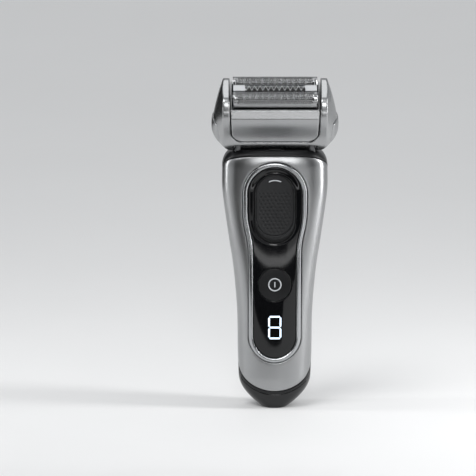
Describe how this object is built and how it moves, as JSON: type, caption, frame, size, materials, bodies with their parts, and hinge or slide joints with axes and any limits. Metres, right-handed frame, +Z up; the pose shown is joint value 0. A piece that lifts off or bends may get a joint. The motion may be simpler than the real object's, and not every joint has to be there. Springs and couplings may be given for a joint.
{
  "type": "foil shaver",
  "caption": "Cordless foil shaver: waisted handle with lock slider, power button and display, rocking head, lift-off foil cassette and a slide-up hair trimmer.",
  "frame": {"origin": "middle of the flat base of the handle", "axes": "+Z up the handle to the shaving head, -Y out of the front with the button and display, +X to the right seen from the front"},
  "size_m": [0.062, 0.0424, 0.1644],
  "materials": {
    "silver_cover": "satin silver lacquer, fine vertical brush",
    "bright_bezel": "bright satin chrome",
    "steel": "brushed",
    "foil_steel": "bright, thin perforated sheet",
    "gloss_black": "high gloss",
    "satin_black": "fine satin",
    "soft_black": "matt",
    "inner_grey": "moulded",
    "board_green": "solder mask",
    "cell_wrap": "shrink wrap",
    "copper": "enamelled copper wire",
    "brass": "plated",
    "amber_film": "flexible film"
  },
  "bodies": {
    "handle": {"front_cover": "silver_cover", "inlay_bezel": "bright_bezel", "inlay_panel": "gloss_black", "rear_shell": "satin_black", "rear_grip": "soft_black", "bottom_cap": "satin_black", "housing_seal": "soft_black", "neck_collar": "satin_black", "neck_yoke": "steel", "chassis": "inner_grey", "battery_cell": "cell_wrap", "battery_tab_top": "steel", "battery_tab_bottom": "steel", "main_board": "board_green", "display_module": "gloss_black", "power_switch": "inner_grey", "drive_ribbon": "amber_film", "charging_socket": "satin_black", "socket_pin_left": "brass", "socket_pin_right": "brass", "station_contact_left": "brass", "station_contact_right": "brass", "yoke_screw_left": "steel", "yoke_screw_right": "steel"},
    "power_button": {"power_button": "satin_black"},
    "lock_slider": {"lock_slider": "satin_black", "thumb_pad": "soft_black", "lock_bar": "steel"},
    "hair_trimmer": {"hair_trimmer_slide": "satin_black", "hair_trimmer_comb": "steel"},
    "hair_trimmer_cutter": {"hair_trimmer_cutter": "steel"},
    "head": {"head_frame": "silver_cover", "pivot_pin_left": "steel", "pivot_pin_right": "steel", "drive_housing": "inner_grey", "drive_cover": "soft_black", "motor_stator": "steel", "motor_coil": "copper", "leaf_spring_left": "steel", "leaf_spring_right": "steel"},
    "release_left": {"release_button_left": "silver_cover"},
    "release_right": {"release_button_right": "silver_cover"},
    "drive_outer": {"drive_bridge_outer": "inner_grey", "magnet_front": "steel", "magnet_back": "steel"},
    "drive_inner": {"drive_bridge_inner": "inner_grey", "magnet_inner": "steel"},
    "cassette": {"cassette_frame": "silver_cover"},
    "foil_front": {"foil_front": "foil_steel", "foil_carrier_front": "satin_black"},
    "foil_back": {"foil_back": "foil_steel", "foil_carrier_back": "satin_black"},
    "centre_trimmer": {"centre_trimmer": "steel"},
    "cutter_front": {"cutter_front": "steel"},
    "cutter_back": {"cutter_back": "steel"},
    "trim_blade": {"trim_blade": "steel"}
  },
  "joints": [
    {"name": "head_rock", "type": "hinge", "parent": "handle", "child": "head", "pos_m": [0, -0.00445, 0.137], "axis": [1, 0, 0], "range_deg": [-20, 20], "stiffness_Nm_per_rad": 0.25},
    {"name": "lock_slide", "type": "slide", "parent": "handle", "child": "lock_slider", "axis": [0, 0, -1], "range_m": [0, 0.0016]},
    {"name": "power_press", "type": "slide", "parent": "handle", "child": "power_button", "axis": [0, 1, 0], "range_m": [0, 0.0005], "stiffness_N_per_m": 1500},
    {"name": "hair_trimmer_raise", "type": "slide", "parent": "handle", "child": "hair_trimmer", "axis": [0, 0, 1], "range_m": [0, 0.022]},
    {"name": "hair_trimmer_cut", "type": "slide", "parent": "hair_trimmer", "child": "hair_trimmer_cutter", "axis": [1, 0, 0], "range_m": [-0.0012, 0.0012]},
    {"name": "release_press_left", "type": "slide", "parent": "head", "child": "release_left", "axis": [1, 0, 0], "range_m": [0, 0.0012], "stiffness_N_per_m": 1500},
    {"name": "release_press_right", "type": "slide", "parent": "head", "child": "release_right", "axis": [-1, 0, 0], "range_m": [0, 0.0012], "stiffness_N_per_m": 1500},
    {"name": "drive_stroke", "type": "slide", "parent": "head", "child": "drive_outer", "axis": [1, 0, 0], "range_m": [-0.0012, 0.0012], "stiffness_N_per_m": 800},
    {"name": "counter_stroke", "type": "slide", "parent": "head", "child": "drive_inner", "axis": [1, 0, 0], "range_m": [-0.0012, 0.0012]},
    {"name": "cassette_lift", "type": "slide", "parent": "head", "child": "cassette", "axis": [0, -0.5, 0.866], "range_m": [0, 0.032]},
    {"name": "foil_float_front", "type": "slide", "parent": "cassette", "child": "foil_front", "axis": [0, 0.5, -0.866], "range_m": [0, 0.0015], "stiffness_N_per_m": 900},
    {"name": "foil_float_back", "type": "slide", "parent": "cassette", "child": "foil_back", "axis": [0, 0.5, -0.866], "range_m": [0, 0.0015], "stiffness_N_per_m": 900},
    {"name": "centre_float", "type": "slide", "parent": "cassette", "child": "centre_trimmer", "axis": [0, 0.5, -0.866], "range_m": [0, 0.0015], "stiffness_N_per_m": 900},
    {"name": "cutter_stroke_front", "type": "slide", "parent": "foil_front", "child": "cutter_front", "axis": [1, 0, 0], "range_m": [-0.0012, 0.0012]},
    {"name": "cutter_stroke_back", "type": "slide", "parent": "foil_back", "child": "cutter_back", "axis": [1, 0, 0], "range_m": [-0.0012, 0.0012]},
    {"name": "trim_stroke", "type": "slide", "parent": "centre_trimmer", "child": "trim_blade", "axis": [1, 0, 0], "range_m": [-0.0012, 0.0012]}
  ],
  "couplings": [
    {"joint": "counter_stroke", "follows": "drive_stroke", "ratio": -1},
    {"joint": "cutter_stroke_front", "follows": "drive_stroke", "ratio": 1},
    {"joint": "cutter_stroke_back", "follows": "drive_stroke", "ratio": 1},
    {"joint": "trim_stroke", "follows": "drive_stroke", "ratio": -1},
    {"joint": "hair_trimmer_cut", "follows": "drive_stroke", "ratio": 1}
  ]
}
